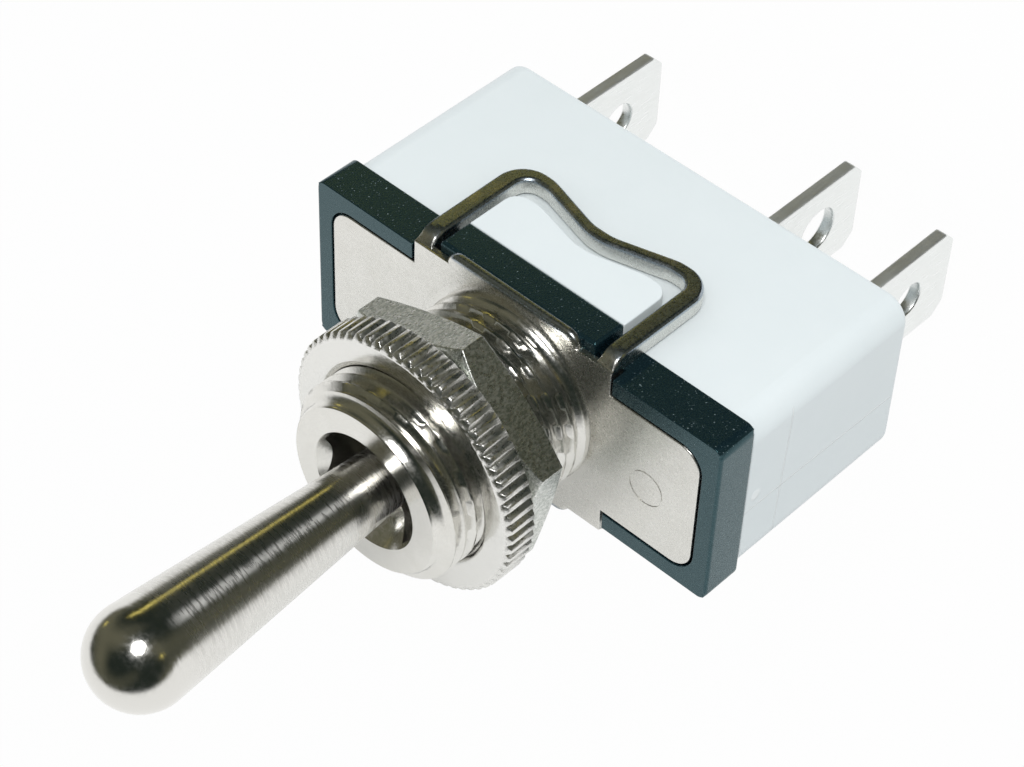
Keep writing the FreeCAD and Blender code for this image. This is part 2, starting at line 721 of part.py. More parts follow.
# Rocker: a strip bent to a saddle that the plunger rides in, with a lug at each side
def rocker_strip():
    fulcrum = size("fulcrum_z")
    radius = size("saddle_radius")
    thick = size("rocker_thick")
    half = size("saddle_half")
    low = fulcrum + size("saddle_low")
    centre = low + radius
    crest = centre - math.sqrt(radius ** 2 - half ** 2)
    lean = math.asin(half / radius)
    arm_top = fulcrum - size("arm_low") + thick
    end = number(CONTACT_X) + size("rocker_end")

    def on_arc(reach, turn):
        return Vector(reach * math.sin(turn), 0, centre - reach * math.cos(turn))

    def side(offset, sign):
        shift = thick if offset else 0
        return [
            Vector(sign * (half + 0.75 - shift * 0.35), 0, crest + 0.12 - shift * 0.95),
            Vector(sign * (half + 2.35 - shift * 0.45), 0, arm_top - shift),
            Vector(sign * end, 0, arm_top - shift),
        ]

    top_left, top_right = side(False, -1), side(False, 1)
    low_left, low_right = side(True, -1), side(True, 1)
    outer = radius + thick
    edges = [
        Part.Arc(on_arc(radius, -lean), on_arc(radius, 0), on_arc(radius, lean)).toShape(),
        Part.Arc(on_arc(outer, -lean), on_arc(outer, 0), on_arc(outer, lean)).toShape(),
        Part.makeLine(top_left[2], low_left[2]),
        Part.makeLine(top_right[2], low_right[2]),
    ]
    for start, run in (
            (on_arc(radius, -lean), top_left), (on_arc(radius, lean), top_right),
            (on_arc(outer, -lean), low_left), (on_arc(outer, lean), low_right)):
        for point in run:
            edges.append(Part.makeLine(start, point))
            start = point
    face = Part.Face(Part.Wire(Part.__sortEdges__(edges)))
    face.translate(Vector(0, -size("rocker_width") / 2, 0))
    return face.extrude(Vector(0, size("rocker_width"), 0))


rocker_blade = piece("rocker_blade", rocker_strip())
rocker_lugs = cross_rod(
    "rocker_lugs", "dim.lug_radius", EAR_OUTER + " - 0.05", "0", "dim.fulcrum_z")
rocker = fuse("rocker", [rocker_blade, rocker_lugs])
ARM_LOW = "(dim.fulcrum_z - dim.arm_low)"
moving = []
for side, sign in (("left", "1"), ("right", "-1")):
    contact = turned("rocker_contact_" + side, [
        ("0", ARM_LOW),
        ("dim.contact_radius", ARM_LOW),
        ("dim.contact_radius", ARM_LOW + " - dim.contact_high + 0.3"),
        ("dim.contact_flat", ARM_LOW + " - dim.contact_high"),
        ("0", ARM_LOW + " - dim.contact_high"),
    ])
    contact.setExpression("Placement.Base.x", "%s * %s" % (sign, CONTACT_X))
    moving.append(contact)
moving_left, moving_right = moving

# Bat lever: round tip, tapered shaft, shoulder, pivot ball and a hollow tail for the plunger
slope = "((dim.tip_radius - dim.neck_radius) / (dim.tip_centre_z - dim.neck_z))"
lever_tip = ball("lever_tip", "dim.tip_radius", "dim.tip_centre_z")
lever_shaft = cone(
    "lever_shaft", "dim.neck_radius", "dim.tip_radius - dim.tip_radius * " + slope + " ^ 2",
    "dim.neck_z", "dim.tip_centre_z - dim.tip_radius * " + slope)
lever_shoulder = cone(
    "lever_shoulder", "dim.shoulder_radius", "dim.shoulder_top_radius", "dim.shoulder_z", "dim.shoulder_top_z")
lever_ball = ball("lever_ball", "dim.ball_radius", "dim.pivot_z")
lever_tail = rod("lever_tail", "dim.tail_radius", "dim.tail_end_z", "dim.pivot_z")
lever_solid = fuse("lever_solid", [lever_tip, lever_shaft, lever_shoulder, lever_ball, lever_tail])
spring_hole = rod("spring_hole", "dim.spring_bore", "dim.tail_end_z - 1", "dim.spring_top_z")
pin_hole = cross_rod(
    "pin_hole", "dim.pin_radius + dim.run_gap", "dim.ball_radius + 1", "0", "dim.pivot_z")
lever = cut("lever", lever_solid, [spring_hole, pin_hole])
lever_pin = cross_rod("lever_pin", "dim.pin_radius", "dim.pin_length / 2", "0", "dim.pivot_z")

# Plunger and its spring inside the lever's tail
plunger_stem = rod("plunger_stem", "dim.plunger_radius", "dim.plunger_centre_z", "dim.plunger_top_z")
plunger_nose = ball("plunger_nose", "dim.plunger_radius", "dim.plunger_centre_z")
plunger = fuse("plunger", [plunger_stem, plunger_nose])


def coil_spring():
    wire = size("wire_radius")
    radius = size("coil_radius")
    length = size("spring_top_z") - size("plunger_top_z") - 2 * (wire + size("nut_gap"))
    helix = Part.makeHelix(size("coil_pitch"), length, radius)
    corners = []
    for index in range(7):
        turn = math.radians(60 * index)
        corners.append(Vector(radius + wire * math.cos(turn), 0, wire * math.sin(turn)))
    return Part.Wire(helix.Edges).makePipeShell([Part.makePolygon(corners)], True, True)


plunger_spring = piece("plunger_spring", coil_spring())
plunger_spring.setExpression("Placement.Base.z", "dim.plunger_top_z + dim.wire_radius + dim.nut_gap")

doc.recompute()

NODES = {
    "bushing_frame": bushing_frame,
    "hex_nut": hex_nut,
    "ring_nut": ring_nut,
    "insulating_frame": insulating_frame,
    "case": case,
    "throw_terminal_left": throw_left,
    "throw_terminal_right": throw_right,
    "common_terminal": common_terminal,
    "fixed_contact_left": fixed_left,
    "fixed_contact_right": fixed_right,
    "rocker": rocker,
    "rocker_contact_left": moving_left,
    "rocker_contact_right": moving_right,
    "lever": lever,
    "lever_pin": lever_pin,
    "plunger": plunger,
    "plunger_spring": plunger_spring,
}

for item in doc.Objects:
    if "Invalid" in item.State or "Error" in item.State:
        raise RuntimeError("%s could not be built" % item.Name)
for name, item in NODES.items():
    item.Label = name
    shape = item.Shape
    if shape.isNull() or not shape.isValid() or len(shape.Solids) != 1:
        raise RuntimeError("%s isn't one valid solid" % name)
    shape.exportStep("parts/%s.step" % name)
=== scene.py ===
# %% [markdown]
# # A panel toggle switch, dressed for a studio picture
# The solids of the switch come from the CAD model and stay where they are. This notebook
# gives them their finishes, cuts the screw thread that the solids leave out, adds the small
# marks of casting and moulding, and lights the switch. Blender's lengths are in metres, so
# MM turns the millimetres of a drawing into Blender's unit.

# %% Load the CAD frame
import math

import bpy
import bmesh
from mathutils import Matrix, Vector


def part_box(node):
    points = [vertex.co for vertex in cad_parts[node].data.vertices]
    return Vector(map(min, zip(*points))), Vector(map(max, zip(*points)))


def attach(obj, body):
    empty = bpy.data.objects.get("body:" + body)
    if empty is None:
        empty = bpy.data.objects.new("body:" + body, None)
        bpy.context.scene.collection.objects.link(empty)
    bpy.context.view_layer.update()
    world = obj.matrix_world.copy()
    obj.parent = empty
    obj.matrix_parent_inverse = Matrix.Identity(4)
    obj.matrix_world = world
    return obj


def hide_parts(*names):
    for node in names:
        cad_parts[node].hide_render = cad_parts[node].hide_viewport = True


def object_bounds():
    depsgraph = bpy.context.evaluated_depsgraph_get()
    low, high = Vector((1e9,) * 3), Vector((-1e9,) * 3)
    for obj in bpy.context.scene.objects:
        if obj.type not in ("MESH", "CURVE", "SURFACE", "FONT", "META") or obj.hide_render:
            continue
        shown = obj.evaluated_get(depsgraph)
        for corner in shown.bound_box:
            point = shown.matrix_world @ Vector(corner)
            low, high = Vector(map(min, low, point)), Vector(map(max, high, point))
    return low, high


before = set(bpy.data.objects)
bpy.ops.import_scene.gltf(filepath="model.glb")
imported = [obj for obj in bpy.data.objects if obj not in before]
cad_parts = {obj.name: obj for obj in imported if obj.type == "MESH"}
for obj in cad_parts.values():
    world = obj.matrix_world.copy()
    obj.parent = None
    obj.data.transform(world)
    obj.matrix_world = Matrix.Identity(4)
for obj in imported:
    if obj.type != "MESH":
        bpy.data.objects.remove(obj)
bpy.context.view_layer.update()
MM = 0.001
scene = bpy.context.scene

# %% [markdown]
# ## The camera
# The picture was taken from in front of the lever, about 15 cm away, with a fairly long lens.
# A camera's matrix has its right, up and backward directions as columns, so the three
# directions found from the picture can be written straight in. The focal length was found in
# pixels of the picture, and the width of the sensor turns it into millimetres.

# %% Place the camera
EYE = Vector((-70.423, -108.037, 70.482)) * MM
RIGHT = Vector((-0.72619, -0.03064, -0.68681))
DOWN = Vector((-0.50635, 0.69959, 0.50417))
AHEAD = Vector((0.46503, 0.71389, -0.52355))
FOCAL_PIXELS = 2783.04
PICTURE_PIXELS = 1024
SENSOR_WIDTH = 36.0

camera = bpy.data.objects.new("camera", bpy.data.cameras.new("camera"))
scene.collection.objects.link(camera)
turn = Matrix((RIGHT, -DOWN, -AHEAD)).transposed()
camera.matrix_world = Matrix.Translation(EYE) @ turn.to_4x4()
camera.data.sensor_width = SENSOR_WIDTH
camera.data.lens = SENSOR_WIDTH * FOCAL_PIXELS / PICTURE_PIXELS
camera.data.clip_start = 0.005
camera.data.clip_end = 20
scene.camera = camera
print("lens in mm:", round(camera.data.lens, 2))

# %% [markdown]
# ## Writing shader maths as plain sums
# A shader is a web of nodes. To keep it readable, a Value stands for one socket and knows
# how to add, multiply or compare; each sum adds the Math node that does it. Every other
# node comes from Finish.add, which sets the node up first and then fills or links its
# sockets.

# %% A small class for sockets and one for a whole finish
class Value:
    """One output in a node tree; a sum on it adds a Math node."""

    def __init__(self, finish, socket):
        self.finish = finish
        self.socket = socket

    def __add__(self, other):
        return self.finish.maths("ADD", self, other)

    def __sub__(self, other):
        return self.finish.maths("SUBTRACT", self, other)

    def __mul__(self, other):
        return self.finish.maths("MULTIPLY", self, other)

    def __pow__(self, other):
        return self.finish.maths("POWER", self, other)

    def __gt__(self, other):
        return self.finish.maths("GREATER_THAN", self, other)


class Finish:
    """A node tree with its helpers: a new material's, or the world's."""

    def __init__(self, name, tree=None):
        if tree is None:
            self.material = bpy.data.materials.new(name)
            self.material.use_nodes = True
            tree = self.material.node_tree
        self.tree = tree
        tree.nodes.clear()

    def fill(self, socket, given):
        """Link a Value to a socket, or write a constant into it."""
        if isinstance(given, Value):
            self.tree.links.new(given.socket, socket)
        else:
            socket.default_value = given

    def add(self, kind, settings=None, sockets=None, out=0):
        """A node with its settings and sockets; the result is one of its outputs."""
        node = self.tree.nodes.new(kind)
        for key, setting in (settings or {}).items():
            setattr(node, key, setting)
        for key, given in (sockets or {}).items():
            self.fill(node.inputs[key], given)
        return Value(self, node.outputs[out]) if len(node.outputs) else None

    def maths(self, operation, first, second):
        return self.add("ShaderNodeMath", {"operation": operation}, {0: first, 1: second})

    def place(self):
        """The point that is shaded, in the object's own coordinates."""
        return self.add("ShaderNodeTexCoord", out="Object")

    def ray(self, kind):
        """1 for rays of one kind, 0 for the others."""
        return self.add("ShaderNodeLightPath", out=f"Is {kind} Ray")

    def xyz(self, vector):
        split = self.add("ShaderNodeSeparateXYZ", None, {0: vector})
        outputs = split.socket.node.outputs
        return [Value(self, outputs[axis]) for axis in "XYZ"]

    def stretched(self, vector, x, y, z):
        return self.add(
            "ShaderNodeVectorMath", {"operation": "MULTIPLY"}, {0: vector, 1: (x, y, z)})

    def measured(self, operation, vector, other):
        """One number from two vectors: their dot product or their distance."""
        return self.add(
            "ShaderNodeVectorMath", {"operation": operation}, {0: vector, 1: tuple(other)},
            out="Value")

    def noise(self, vector, grain_mm, detail=3.0):
        return self.add("ShaderNodeTexNoise", None, {
            "Vector": vector, "Scale": 1 / (grain_mm * MM), "Detail": detail, "Roughness": 0.55})

    def ramp(self, value, low, high, start=0.0, end=1.0):
        """A soft step from start to end while value goes from low to high."""
        return self.add("ShaderNodeMapRange", {"interpolation_type": "SMOOTHSTEP", "clamp": True}, {
            "Value": value, "From Min": low, "From Max": high, "To Min": start, "To Max": end})

    def ramp_off_plane(self, offset, low_mm, high_mm, start=0.0, end=1.0):
        """The same soft step on both sides of a plane, by the distance from it."""
        return self.ramp(offset * offset, (low_mm * MM) ** 2, (high_mm * MM) ** 2, start, end)

    def mix(self, share, first, second):
        """A colour between two; each is a Value or a plain (red, green, blue)."""
        mixed = self.add("ShaderNodeMix", {"data_type": "RGBA"}, {"Factor": share})
        node = mixed.socket.node
        for socket, given in ((node.inputs[6], first), (node.inputs[7], second)):
            self.fill(socket, given if isinstance(given, Value) else (*given, 1.0))
        return Value(self, node.outputs[2])

    def bump(self, height, depth_mm, strength, over=None):
        """A normal pushed by a height; over is another bump that lies beneath it."""
        sockets = {"Height": height, "Distance": depth_mm * MM, "Strength": strength}
        if over is not None:
            sockets["Normal"] = over
        return self.add("ShaderNodeBump", None, sockets)

    def surface(self, sockets):
        shader = self.add("ShaderNodeBsdfPrincipled", None, sockets)
        self.add("ShaderNodeOutputMaterial", None, {"Surface": shader})
        return self.material

    def mixed_surface(self, share, first, second):
        """Two Principled shaders, the second one by its share."""
        shaders = [self.add("ShaderNodeBsdfPrincipled", None, each) for each in (first, second)]
        mixed = self.add("ShaderNodeMixShader", None, {0: share, 1: shaders[0], 2: shaders[1]})
        self.add("ShaderNodeOutputMaterial", None, {"Surface": mixed})
        return self.material


# %% [markdown]
# ## Surroundings
# Polished metal shows its surroundings, so they matter more than the lamp. Half of the
# surroundings is white paper and the other half a dim room; where they meet gives the nickel
# its dark core and white edges. Three soft patches of yellow light in the room give the
# yellow glints. Only glossy rays see all this: other rays find an even pale light, and the
# camera finds plain white.

# %% Build the surroundings
PAPER_SIDE = Vector((0.112, 0.917, -0.384)).normalized()
PAPER_WHITE = (1.0, 1.0, 0.99)
PURE_WHITE = (1.0, 1.0, 1.0)
EVEN_LIGHT = (0.60, 0.62, 0.63)
ROOM_DARK = (0.018, 0.024, 0.019)
ROOM_LIGHT = (0.145, 0.14, 0.095)
YELLOW = (0.85, 0.72, 0.20)
CLUTTER_SIZE = 900  # a direction has length 1, which a noise in millimetres takes for 1000
YELLOW_PATCHES = (
    ((0.585, -0.618, -0.524), 0.050, 0.26),
    ((0.952, -0.288, 0.093), 0.05, 0.05),
    ((-0.836, -0.513, -0.19), 0.05, 0.05))
PATCH_FULL, PATCH_END = 0.6, 1.3  # shares of a patch's half size between which it fades

world = bpy.data.worlds.new("surroundings")
world.use_nodes = True
scene.world = world
sky = Finish("surroundings", world.node_tree)
direction = sky.add("ShaderNodeTexCoord", out="Generated")


def glow_patch(towards, half_width, half_height):
    """1 inside a soft upright patch of the surroundings, 0 outside it."""
    middle = Vector(towards).normalized()
    side = Vector((-middle.y, middle.x, 0)).normalized()
    shares = []
    for axis, half in ((side, half_width), (middle.cross(side), half_height)):
        along = sky.measured("DOT_PRODUCT", direction, axis)
        shares.append(sky.ramp(
            along * along, (half * PATCH_FULL) ** 2, (half * PATCH_END) ** 2, 1.0, 0.0))
    facing = sky.measured("DOT_PRODUCT", direction, middle)
    return shares[0] * shares[1] * (facing > 0.0)


paper = sky.ramp(sky.measured("DOT_PRODUCT", direction, PAPER_SIDE), -0.02, 0.20)
clutter = sky.noise(direction, CLUTTER_SIZE, 0.0)
room = sky.mix(sky.ramp(clutter, 0.34, 0.76), ROOM_DARK, ROOM_LIGHT)
first_patch, second_patch, third_patch = (glow_patch(*patch) for patch in YELLOW_PATCHES)
room = sky.mix(first_patch + second_patch + third_patch, room, YELLOW)
reflected = sky.mix(paper, room, PAPER_WHITE)
seen = sky.mix(sky.ray("Glossy"), EVEN_LIGHT, reflected)
seen = sky.mix(sky.ray("Camera") + sky.ray("Transmission"), seen, PURE_WHITE)
glow = sky.add("ShaderNodeBackground", None, {"Color": seen, "Strength": 1.0})
sky.add("ShaderNodeOutputWorld", None, {"Surface": glow})
world.cycles.sampling_method = "NONE"

# %% [markdown]
# ## The floor
# The floor is white paper under the switch. The camera finds it almost evenly white, with
# only a faint shadow, and mirror-like rays don't find it at all, because the surroundings
# have a paper of their own for them.

# %% Lay the floor
FLOOR_HALF = 2.0
FLOOR_TONE = (0.92, 0.92, 0.92, 1)
FLOOR_GLOW_SHARE = 0.97
CORNERS = ((-1, -1), (1, -1), (1, 1), (-1, 1))


def four_corners(name, corners):
    """A flat stage piece from its four corners."""
    mesh = bpy.data.meshes.new(name)
    mesh.from_pydata(corners, [], [(0, 1, 2, 3)])
    item = bpy.data.objects.new(name, mesh)
    scene.collection.objects.link(item)
    return item


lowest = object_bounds()[0].z
floor = four_corners("floor", [(a * FLOOR_HALF, b * FLOOR_HALF, lowest) for a, b in CORNERS])
floor.visible_glossy = False
floor_finish = Finish("floor_paper")
floor_lit = floor_finish.add("ShaderNodeBsdfDiffuse", None, {"Color": FLOOR_TONE})
floor_even = floor_finish.add(
    "ShaderNodeEmission", None, {"Color": (1, 1, 1, 1), "Strength": 1.0})
floor_both = floor_finish.add("ShaderNodeMixShader", None, {
    0: floor_finish.ray("Camera") * FLOOR_GLOW_SHARE, 1: floor_lit, 2: floor_even})
floor_finish.add("ShaderNodeOutputMaterial", None, {"Surface": floor_both})
floor.data.materials.append(floor_finish.material)

# %% [markdown]
# ## A card beside the switch
# The switch was lying on white paper, which is dark where the nuts and the case shade it. A
# small card on that side, found by mirror-like rays alone, brings those dark places into the
# plating. It fades out towards its edge, where the even white takes over.

# %% Place the card
CARD_AT = Vector((0, 8.2, -10)) * MM
CARD_HALF = 30 * MM
CARD_TONE = (0.97, 0.97, 0.96, 1)
CARD_GLOW_SHARE = 0.45
CARD_FADE_START, CARD_FADE_END = 15 * MM, 27 * MM

card = four_corners(
    "shaded_card", [CARD_AT + Vector((a * CARD_HALF, 0, b * CARD_HALF)) for a, b in CORNERS])
card.visible_camera = False
card.visible_diffuse = False
card.visible_shadow = False
card.visible_transmission = False
card_finish = Finish("shaded_card")
from_middle = card_finish.measured("DISTANCE", card_finish.place(), CARD_AT)
card_lit = card_finish.add("ShaderNodeBsdfDiffuse", None, {"Color": CARD_TONE})
card_even = card_finish.add("ShaderNodeEmission", None, {"Color": CARD_TONE, "Strength": 1.0})
card_both = card_finish.add(
    "ShaderNodeMixShader", None, {0: CARD_GLOW_SHARE, 1: card_lit, 2: card_even})
card_clear = card_finish.add("ShaderNodeBsdfTransparent")
card_faded = card_finish.add("ShaderNodeMixShader", None, {
    0: card_finish.ramp(from_middle, CARD_FADE_START, CARD_FADE_END),
    1: card_both, 2: card_clear})
card_finish.add("ShaderNodeOutputMaterial", None, {"Surface": card_faded})
card.data.materials.append(card_finish.material)

# %% [markdown]
# ## The flash
# One small round lamp, from the left of the camera and above, gives the bright band on each
# turned shape. It looks at the middle of the switch.

# %% Place the flash
FLASH_TOWARDS = Vector((-0.31, -0.874, 0.367)).normalized()
FLASH_DISTANCE = 260
FLASH_SIZE = 100
FLASH_WATTS = 0.32
SWITCH_MIDDLE = Vector((0, 0, -0.005))

flash_light = bpy.data.lights.new("flash", "AREA")
flash_light.shape = "DISK"
flash_light.size = FLASH_SIZE * MM
flash_light.energy = FLASH_WATTS
flash = bpy.data.objects.new("flash", flash_light)
scene.collection.objects.link(flash)
flash.location = SWITCH_MIDDLE + FLASH_TOWARDS * FLASH_DISTANCE * MM
flash.rotation_mode = "QUATERNION"
flash.rotation_quaternion = FLASH_TOWARDS.to_track_quat("Z", "Y")

# %% [markdown]
# ## Nickel on the casting
# Each finish has the grain of the real one at its real scale. The casting is smooth on the
# bushing, where the thread was cut, and slightly grainy on the flange. On the loops the base
# colour is darkened in patches: painted shade that stands in for the dark room they reflect.
# Fine ripples run round the bushing, because their noise is read in turned coordinates:
# radius, angle and height.

# %% Casting finish
BUSHING_ENDS, FLANGE_STARTS = 6.0 * MM, 6.5 * MM
LOOPS_FROM, LOOPS_FULL = 6.45, 6.65
RIPPLE_STRETCH = 0.9 * MM

cast = Finish("nickel_casting")
at = cast.place()
x, y, z = cast.xyz(at)
radius = (x * x + y * y) ** 0.5
plain = cast.ramp(radius, BUSHING_ENDS, FLANGE_STARTS)
grain = cast.noise(at, 0.16, 4.0)
angle = cast.maths("ARCTAN2", y, x)
along = cast.add(
    "ShaderNodeCombineXYZ", None, {"X": radius, "Y": angle * RIPPLE_STRETCH, "Z": z})
ripple = cast.noise(along, 0.13, 2.0)
waves = cast.noise(at, 1.6, 2.0)
shiny = cast.mix(waves, (0.70, 0.69, 0.65), (0.79, 0.78, 0.75))
# painted shade: the loops' base colour goes darker in patches, standing in for the dark reflection
# of the room
loop_painted_shade = cast.ramp_off_plane(y, LOOPS_FROM, LOOPS_FULL) * cast.ramp(waves, 0.3, 0.5, 0.6, 1.0)
cast_material = cast.surface({
    "Base Color": cast.mix(loop_painted_shade, shiny, (0.39, 0.44, 0.49)),
    "Metallic": 1.0,
    "Roughness": cast.ramp(grain, 0.35, 0.7, 0.16, 0.25) + plain * 0.08,
    "Normal": cast.bump(
        ripple, 0.007, 0.5, cast.bump(grain * (plain * 0.5 + 0.3), 0.009, 0.6)),
})

# %% [markdown]
# ## Nickel on the nuts
# The nuts' turned faces are bright. The hexagon's flats, behind the round nut, and the
# knurl's teeth were cut rough, and the plating shows it as a torn grain.

# %% Nut finish
FLATS_FROM, FLATS_FULL = -2.30 * MM, -2.40 * MM
TEETH_FROM, TEETH_FULL = 7.60 * MM, 7.72 * MM

bright = Finish("nickel_nuts")
at = bright.place()
x, y, z = bright.xyz(at)
on_flats = bright.ramp(z, FLATS_FROM, FLATS_FULL)
on_teeth = bright.ramp((x * x + y * y) ** 0.5, TEETH_FROM, TEETH_FULL)
rough_cut = bright.maths("MAXIMUM", on_flats, on_teeth)
fleck = bright.noise(at, 0.24, 4.0)
torn = bright.noise(bright.stretched(at, 1.0, 1.0, 0.5), 0.11, 4.0)
flats_tone = bright.mix(bright.ramp(torn, 0.4, 0.6), (0.50, 0.53, 0.49), (0.84, 0.85, 0.82))
nut_material = bright.surface({
    "Base Color": bright.mix(on_flats, (0.78, 0.775, 0.75), flats_tone),
    "Metallic": 1.0,
    "Roughness": bright.ramp(fleck, 0.35, 0.7, 0.12, 0.24) + rough_cut * 0.14,
    "Normal": bright.bump(torn * rough_cut, 0.024, 0.8, bright.bump(fleck, 0.006, 0.5)),
})

# %% [markdown]
# ## Nickel on the turned lever
# Turning leaves rings across the lever, which stretch a highlight along it. The shank shows
# that stretch, mixed with the crisp plating; the ball end keeps the crisp one alone.

# %% Lever finish
NICKEL = (0.74, 0.73, 0.70, 1)
SHANK_ENDS, SHANK_FULL = 17.2 * MM, 15.6 * MM
SHANK_SHARE = 0.46

turned = Finish("nickel_lever")
at = turned.place()
rings = turned.noise(turned.stretched(at, 0.14, 0.14, 1.0), 0.15, 3.0)
specks = turned.noise(at, 0.25, 3.0)
height = turned.xyz(at)[2]
on_shank = turned.ramp(height, SHANK_ENDS, SHANK_FULL, 0.0, SHANK_SHARE)
marks = turned.bump(rings, 0.010, 0.6, turned.bump(specks, 0.004, 0.5))
lever_material = turned.mixed_surface(on_shank, {
    "Base Color": NICKEL,
    "Metallic": 1.0,
    "Roughness": turned.ramp(specks, 0.35, 0.7, 0.14, 0.21),
    "Normal": marks,
}, {
    "Base Color": NICKEL,
    "Metallic": 1.0,
    "Roughness": turned.ramp(rings, 0.40, 0.62, 0.24, 0.38),
    "Anisotropic": 1.0,
    "Anisotropic Rotation": 0.25,
    "Normal": marks,
})

# %% [markdown]
# ## Black moulding
# The tray is a black thermoset with pale specks of filler. Its half-gloss skin reflects a
# cool tint.

# %% Tray finish
black = Finish("black_moulding")
speck = black.noise(black.place(), 0.10, 2.0)
pale_speck = black.ramp(speck, 0.70, 0.74)
black_material = black.surface({
    "Base Color": black.mix(pale_speck, (0.004, 0.012, 0.017), (0.30, 0.36, 0.38)),
    "Specular IOR Level": 1.0,
    "Specular Tint": (0.44, 0.90, 1.0, 1),
    "Roughness": black.ramp(speck, 0.4, 0.7, 0.24, 0.36),
    "Normal": black.bump(speck, 0.012, 0.6),
})

# %% [markdown]
# ## White moulding
# The case is an even, cool white. On the end face that the picture shows, the mould left a
# crossing pair of thin raised lines and a round pip.
# Along these lines and the pip the base colour is also lighter: a painted highlight for the light
# that the raised marks catch.

# %% Case finish
END_FROM, END_FULL = -14.50 * MM, -14.62 * MM
LINE_CORE = 0.3  # share of a line's half width that is fully raised
UPRIGHT_Y, UPRIGHT_HALF, UPRIGHT_LEAN, LEAN_FROM_Z = 1.05 * MM, 0.07, 0.02, 17.8 * MM
ACROSS_Z, ACROSS_HALF, ACROSS_LEAN = 14.15 * MM, 0.06, 0.05
ACROSS_ENDS, ACROSS_FULL = 4.9, 4.7
PIP_AT = (0, 0.05 * MM, -11.9 * MM)
PIP_FULL, PIP_ENDS = 0.25 * MM, 0.45 * MM

white = Finish("white_moulding")
at = white.place()
haze = white.noise(at, 2.5, 3.0)
pores = white.noise(at, 0.12, 3.0)
x, y, z = white.xyz(at)
end_face = white.ramp(x, END_FROM, END_FULL)


def thin_line(offset, half_mm):
    """1 along a narrow line where offset is nil."""
    return white.ramp_off_plane(offset, half_mm * LINE_CORE, half_mm, 1.0, 0.0)


upright = thin_line(y - UPRIGHT_Y + (z + LEAN_FROM_Z) * UPRIGHT_LEAN, UPRIGHT_HALF)
across = thin_line(z + ACROSS_Z - y * ACROSS_LEAN, ACROSS_HALF)
across = across * white.ramp_off_plane(y, ACROSS_ENDS, ACROSS_FULL)
from_pip = white.measured("DISTANCE", white.stretched(at, 0.0, 1.0, 1.0), PIP_AT)
pip = white.ramp(from_pip, PIP_FULL, PIP_ENDS, 1.0, 0.0)
seam_and_highlight = (upright + across + pip) * end_face
even_white = white.mix(haze, (0.735, 0.79, 0.80), (0.77, 0.82, 0.83))
white_material = white.surface({
    # painted highlight: the base colour is lighter along the raised seam lines and the pip
    "Base Color": white.mix(seam_and_highlight * 0.8, even_white, (0.88, 0.91, 0.91)),
    "Roughness": 0.36,
    "Normal": white.bump(seam_and_highlight, 0.040, 0.9, white.bump(pores, 0.004, 0.5)),
})

# %% [markdown]
# ## Tinned brass
# The push-on tabs were sheared from tinned strip. The faces keep the strip's satin, drawn
# lengthwise, and the sheared edges are rough and crumbly.

# %% Tab finish
SHEARED_FROM, SHEARED_FULL = 3.05, 3.11

tinned = Finish("tinned_brass")
at = tinned.place()
drawn = tinned.noise(tinned.stretched(at, 1.0, 1.0, 0.12), 0.14, 3.0)
across_tab = tinned.xyz(at)[1]
sheared = tinned.ramp_off_plane(across_tab, SHEARED_FROM, SHEARED_FULL)
crumbs = tinned.noise(at, 0.13, 4.0)
tab_material = tinned.surface({
    "Base Color": (0.85, 0.87, 0.865, 1),
    "Metallic": 1.0,
    "Roughness": tinned.ramp(drawn, 0.3, 0.7, 0.26, 0.40) + sheared * 0.26,
    "Normal": tinned.bump(crumbs * sheared, 0.022, 0.8, tinned.bump(drawn, 0.004, 0.5)),
})


# %% [markdown]
# ## Inner parts
# The contacts, the rocker, the pin and the spring are plain metals with a slightly uneven
# shine. The plunger is natural nylon.

# %% Finishes of the inner parts
def plain_metal(name, tone, roughness):
    """A metal whose roughness varies a little about a middle value."""
    finish = Finish(name)
    texture = finish.noise(finish.place(), 0.2, 3.0)
    return finish.surface({
        "Base Color": (*tone, 1),
        "Metallic": 1.0,
        "Roughness": finish.ramp(texture, 0.3, 0.7, roughness - 0.06, roughness + 0.06),
    })


silver_material = plain_metal("contact_silver", (0.86, 0.85, 0.82), 0.3)
copper_material = plain_metal("rocker_copper", (0.78, 0.47, 0.30), 0.3)
pin_material = plain_metal("pin_steel", (0.6, 0.6, 0.6), 0.25)
spring_material = plain_metal("spring_steel", (0.5, 0.5, 0.5), 0.3)
nylon = Finish("plunger_nylon")
milky = nylon.noise(nylon.place(), 0.8)
nylon_material = nylon.surface({
    "Base Color": nylon.mix(milky, (0.83, 0.81, 0.73), (0.87, 0.85, 0.78)),
    "Roughness": 0.45,
})

# %% [markdown]
# ## Copies with softened edges
# A real edge is never sharp: it catches a thin line of light. These pieces are copies of
# their CAD meshes. The loose triangles are joined first, flat faces become one face each,
# and every sharp edge that passes the test is rounded by a small width. A rounding's test
# gets the middle of an edge in millimetres.

# %% Softened copies
SHARP_DEGREES = 38
FLAT_DEGREES = 0.3
WELD = 0.001 * MM


def sharp_edges(shape, chosen):
    """Convex sharp edges of a bmesh where chosen(middle in mm) is true."""
    found = []
    for edge in shape.edges:
        if len(edge.link_faces) != 2:
            continue
        if edge.calc_face_angle_signed(0) > math.radians(SHARP_DEGREES):
            if chosen((edge.verts[0].co + edge.verts[1].co) / 2 / MM):
                found.append(edge)
    return found


